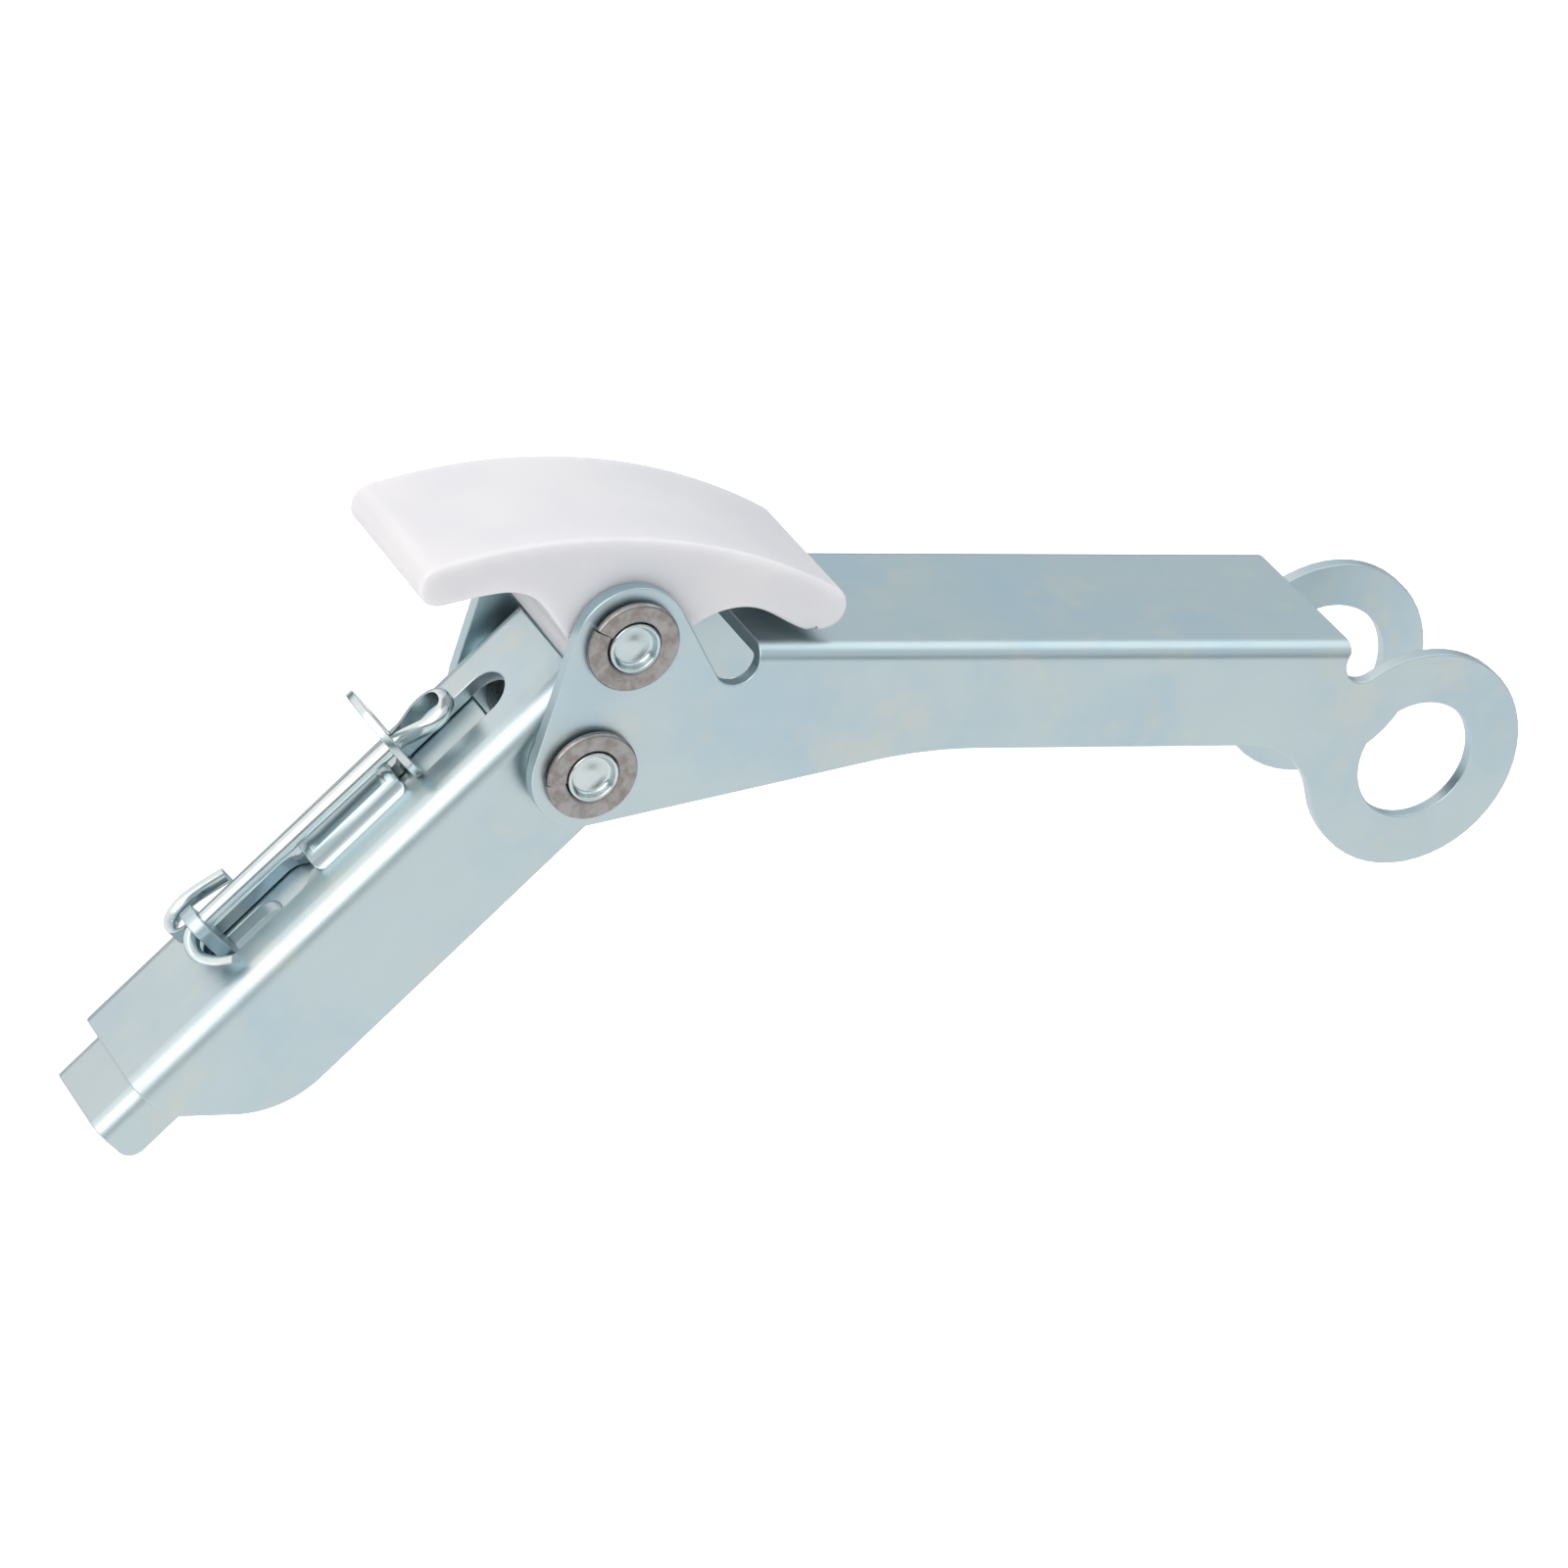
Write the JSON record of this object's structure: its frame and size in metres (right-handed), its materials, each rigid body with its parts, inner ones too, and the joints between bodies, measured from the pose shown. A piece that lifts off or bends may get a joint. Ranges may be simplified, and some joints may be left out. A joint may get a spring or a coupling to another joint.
{
  "type": "stair gate latch",
  "caption": "Pressed steel folding latch lever with two ring eyes, a plastic cam on one pin and a hinged channel leg that carries a sliding bolt held by a split pin.",
  "frame": {"origin": "on the axis of the two ring eyes, half way across the arm", "axes": "+X along the arm towards the eyes and away from the leg, +Y across the arm along the pins, +Z out of the arm's web"},
  "size_m": [0.2821, 0.0466, 0.1309],
  "materials": {
    "zinc_plate": "bright zinc plate with a faint blue cast",
    "bare_steel": "dull hardened spring steel",
    "nylon": "natural white nylon, slightly translucent"
  },
  "bodies": {
    "arm": {"lever_channel": "zinc_plate", "cam_pin": "zinc_plate", "cam_lock_washer_near": "bare_steel", "cam_lock_washer_far": "bare_steel", "hinge_pin": "zinc_plate", "hinge_lock_washer_near": "bare_steel", "hinge_lock_washer_far": "bare_steel", "hinge_spacer_near": "zinc_plate", "hinge_spacer_far": "zinc_plate", "cam_sleeve": "zinc_plate"},
    "cam": {"cam_shoe": "nylon"},
    "leg": {"leg_channel": "zinc_plate", "hinge_sleeve": "bare_steel"},
    "bolt": {"bolt_channel": "zinc_plate", "split_pin": "zinc_plate", "flat_washer": "zinc_plate"}
  },
  "joints": [
    {"name": "leg_hinge", "type": "hinge", "parent": "arm", "child": "leg", "pos_m": [-0.1787, 0, -0.0007], "axis": [0, -1, 0], "range_deg": [0, 130]},
    {"name": "cam_pivot", "type": "hinge", "parent": "arm", "child": "cam", "pos_m": [-0.1759, 0, 0.0259], "axis": [0, -1, 0], "range_deg": [-1.5, 28]},
    {"name": "bolt_slide", "type": "slide", "parent": "leg", "child": "bolt", "axis": [0.6368, 0, 0.7711], "range_m": [0, 0.018]}
  ]
}
